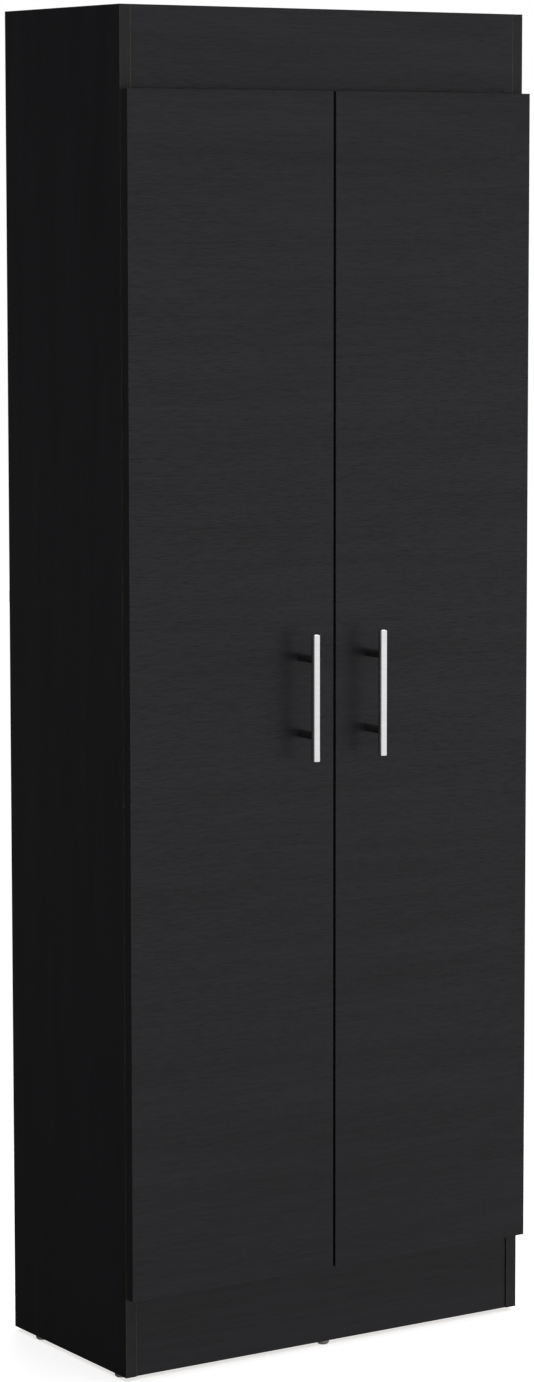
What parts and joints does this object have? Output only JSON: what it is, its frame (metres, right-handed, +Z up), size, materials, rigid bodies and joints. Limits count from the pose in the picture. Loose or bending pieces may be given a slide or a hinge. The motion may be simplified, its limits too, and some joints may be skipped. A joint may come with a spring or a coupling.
{
  "type": "pantry cabinet",
  "caption": "Tall narrow two-door pantry cabinet in dark wood-grain laminate, with a plain fascia, a plinth, inside shelves, concealed cup hinges and vertical bar handles.",
  "frame": {"origin": "on the floor, at the middle of the overall box in X and Y", "axes": "+X to the right as seen from the front, +Y from the doors towards the wall, +Z up"},
  "size_m": [0.6, 0.342, 1.7],
  "materials": {
    "black_laminate": "dark melamine with a fine wood-grain emboss, satin",
    "hardboard": "thin brown hardboard, smooth inside, mesh pattern outside",
    "dark_plastic": "extruded plastic, matt",
    "grey_plastic": "moulded plastic, matt",
    "clear_plastic": "clear soft plastic",
    "bright_steel": "satin-polished steel",
    "dark_metal": "dark satin lacquered metal",
    "nickel_steel": "nickel-plated pressed steel",
    "zinc_steel": "zinc-plated steel",
    "zinc_casting": "die-cast zinc, as cast",
    "beech": "fluted beech, unfinished"
  },
  "bodies": {
    "carcass": {"left_side_panel": "black_laminate", "right_side_panel": "black_laminate", "top_panel": "black_laminate", "bottom_panel": "black_laminate", "fixed_shelf": "black_laminate", "shelf_1": "black_laminate", "shelf_2": "black_laminate", "shelf_3": "black_laminate", "shelf_4": "black_laminate", "fascia": "black_laminate", "plinth": "black_laminate", "rear_base_rail": "black_laminate", "wall_rail": "black_laminate", "upper_back_panel": "hardboard", "lower_back_panel": "hardboard", "back_joiner_strip": "dark_plastic", "shelf_pins": "nickel_steel", "cam_locks": "zinc_casting", "cam_bolts": "nickel_steel", "wooden_dowels": "beech", "back_nails": "zinc_steel", "glides": "grey_plastic", "door_bumpers": "clear_plastic", "plate_screws": "zinc_steel", "arm_screws": "nickel_steel", "arm_pins": "nickel_steel", "left_low_hinge_plate": "nickel_steel", "left_low_hinge_arm": "nickel_steel", "left_middle_hinge_plate": "nickel_steel", "left_middle_hinge_arm": "nickel_steel", "left_high_hinge_plate": "nickel_steel", "left_high_hinge_arm": "nickel_steel", "right_low_hinge_plate": "nickel_steel", "right_low_hinge_arm": "nickel_steel", "right_middle_hinge_plate": "nickel_steel", "right_middle_hinge_arm": "nickel_steel", "right_high_hinge_plate": "nickel_steel", "right_high_hinge_arm": "nickel_steel"},
    "left_door_leaf": {"left_door": "black_laminate", "left_handle_bar": "bright_steel", "left_handle_posts": "dark_metal", "left_handle_screws": "zinc_steel", "left_cup_screws": "zinc_steel", "left_cup_pins": "nickel_steel", "left_low_hinge_cup": "nickel_steel", "left_middle_hinge_cup": "nickel_steel", "left_high_hinge_cup": "nickel_steel"},
    "left_long_link_set": {"left_long_links": "nickel_steel"},
    "left_short_link_set": {"left_short_links": "nickel_steel"},
    "right_door_leaf": {"right_door": "black_laminate", "right_handle_bar": "bright_steel", "right_handle_posts": "dark_metal", "right_handle_screws": "zinc_steel", "right_cup_screws": "zinc_steel", "right_cup_pins": "nickel_steel", "right_low_hinge_cup": "nickel_steel", "right_middle_hinge_cup": "nickel_steel", "right_high_hinge_cup": "nickel_steel"},
    "right_long_link_set": {"right_long_links": "nickel_steel"},
    "right_short_link_set": {"right_short_links": "nickel_steel"}
  },
  "joints": [
    {"name": "left_long_link_swing", "type": "hinge", "parent": "carcass", "child": "left_long_link_set", "pos_m": [-0.2665, -0.1015, 0.8525], "axis": [0, 0, 1], "range_deg": [0, 27.01]},
    {"name": "left_door_swing", "type": "hinge", "parent": "left_long_link_set", "child": "left_door_leaf", "pos_m": [-0.2905, -0.1192, 0.8525], "axis": [0, 0, -1], "range_deg": [0, 127]},
    {"name": "left_short_link_swing", "type": "hinge", "parent": "left_door_leaf", "child": "left_short_link_set", "pos_m": [-0.2883, -0.123, 0.8525], "axis": [0, 0, 1], "range_deg": [0, 119.01]},
    {"name": "right_long_link_swing", "type": "hinge", "parent": "carcass", "child": "right_long_link_set", "pos_m": [0.2665, -0.1015, 0.8525], "axis": [0, 0, -1], "range_deg": [0, 27.01]},
    {"name": "right_door_swing", "type": "hinge", "parent": "right_long_link_set", "child": "right_door_leaf", "pos_m": [0.2905, -0.1192, 0.8525], "axis": [0, 0, 1], "range_deg": [0, 127]},
    {"name": "right_short_link_swing", "type": "hinge", "parent": "right_door_leaf", "child": "right_short_link_set", "pos_m": [0.2883, -0.123, 0.8525], "axis": [0, 0, -1], "range_deg": [0, 119.01]}
  ],
  "couplings": [
    {"joint": "left_long_link_swing", "follows": "left_door_swing", "ratio": 0.2126},
    {"joint": "left_short_link_swing", "follows": "left_door_swing", "ratio": 0.93701},
    {"joint": "right_long_link_swing", "follows": "right_door_swing", "ratio": 0.2126},
    {"joint": "right_short_link_swing", "follows": "right_door_swing", "ratio": 0.93701}
  ]
}
